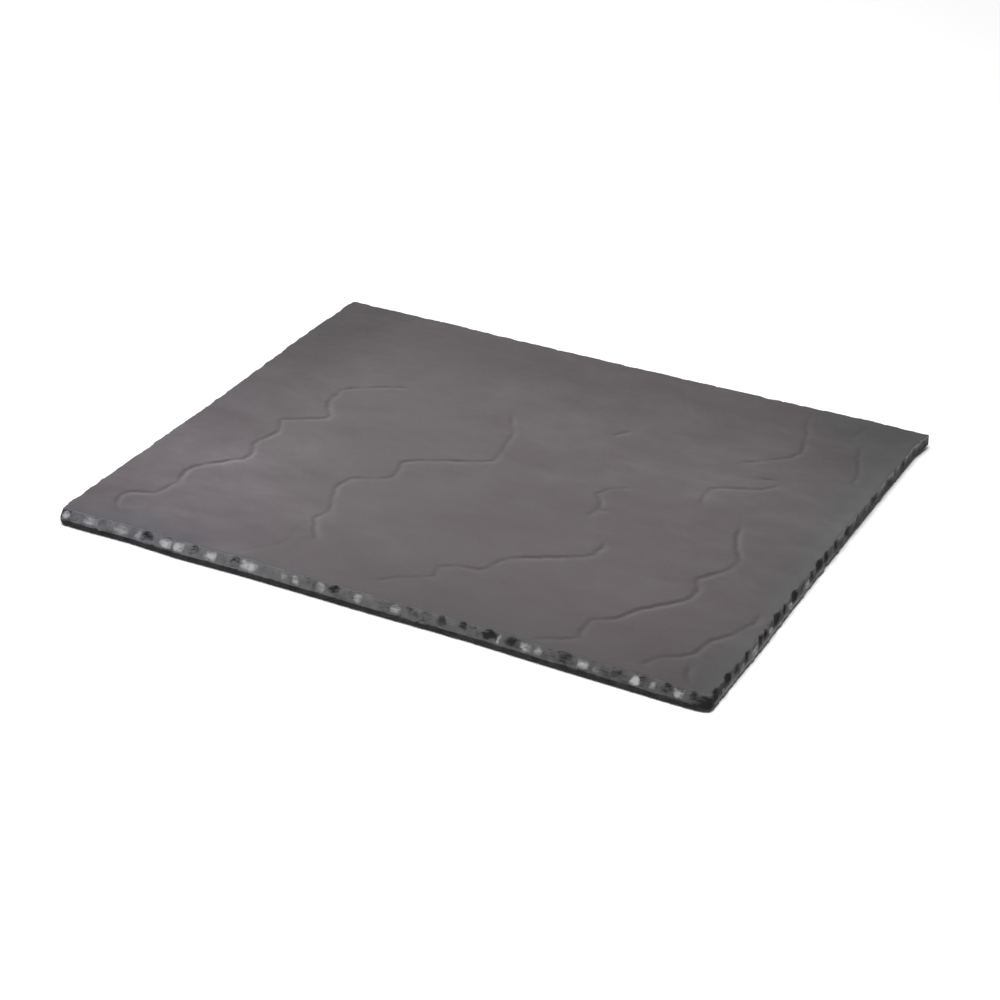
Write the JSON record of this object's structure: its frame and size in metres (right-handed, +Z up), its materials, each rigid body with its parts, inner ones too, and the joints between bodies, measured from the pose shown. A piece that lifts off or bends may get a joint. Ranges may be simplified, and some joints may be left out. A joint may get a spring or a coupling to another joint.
{
  "type": "slate serving board",
  "caption": "Flat rectangular slate serving board with chipped bevelled edges, rounded corners and low cleavage ridges on its face, on stick-on rubber feet.",
  "frame": {"origin": "on the table, under the middle of the board, in the plane of the feet's treads", "axes": "+X along the long side, +Y towards the back long side, +Z up through the serving face"},
  "size_m": [0.325, 0.265, 0.008],
  "materials": {
    "slate": "riven, semi-matte",
    "rubber": "matte",
    "adhesive": "foam tape"
  },
  "bodies": {
    "root": {"slate_slab": "slate", "foot_front_left": "rubber", "foot_front_right": "rubber", "foot_back_left": "rubber", "foot_back_right": "rubber", "adhesive_front_left": "adhesive", "adhesive_front_right": "adhesive", "adhesive_back_left": "adhesive", "adhesive_back_right": "adhesive"}
  },
  "joints": []
}
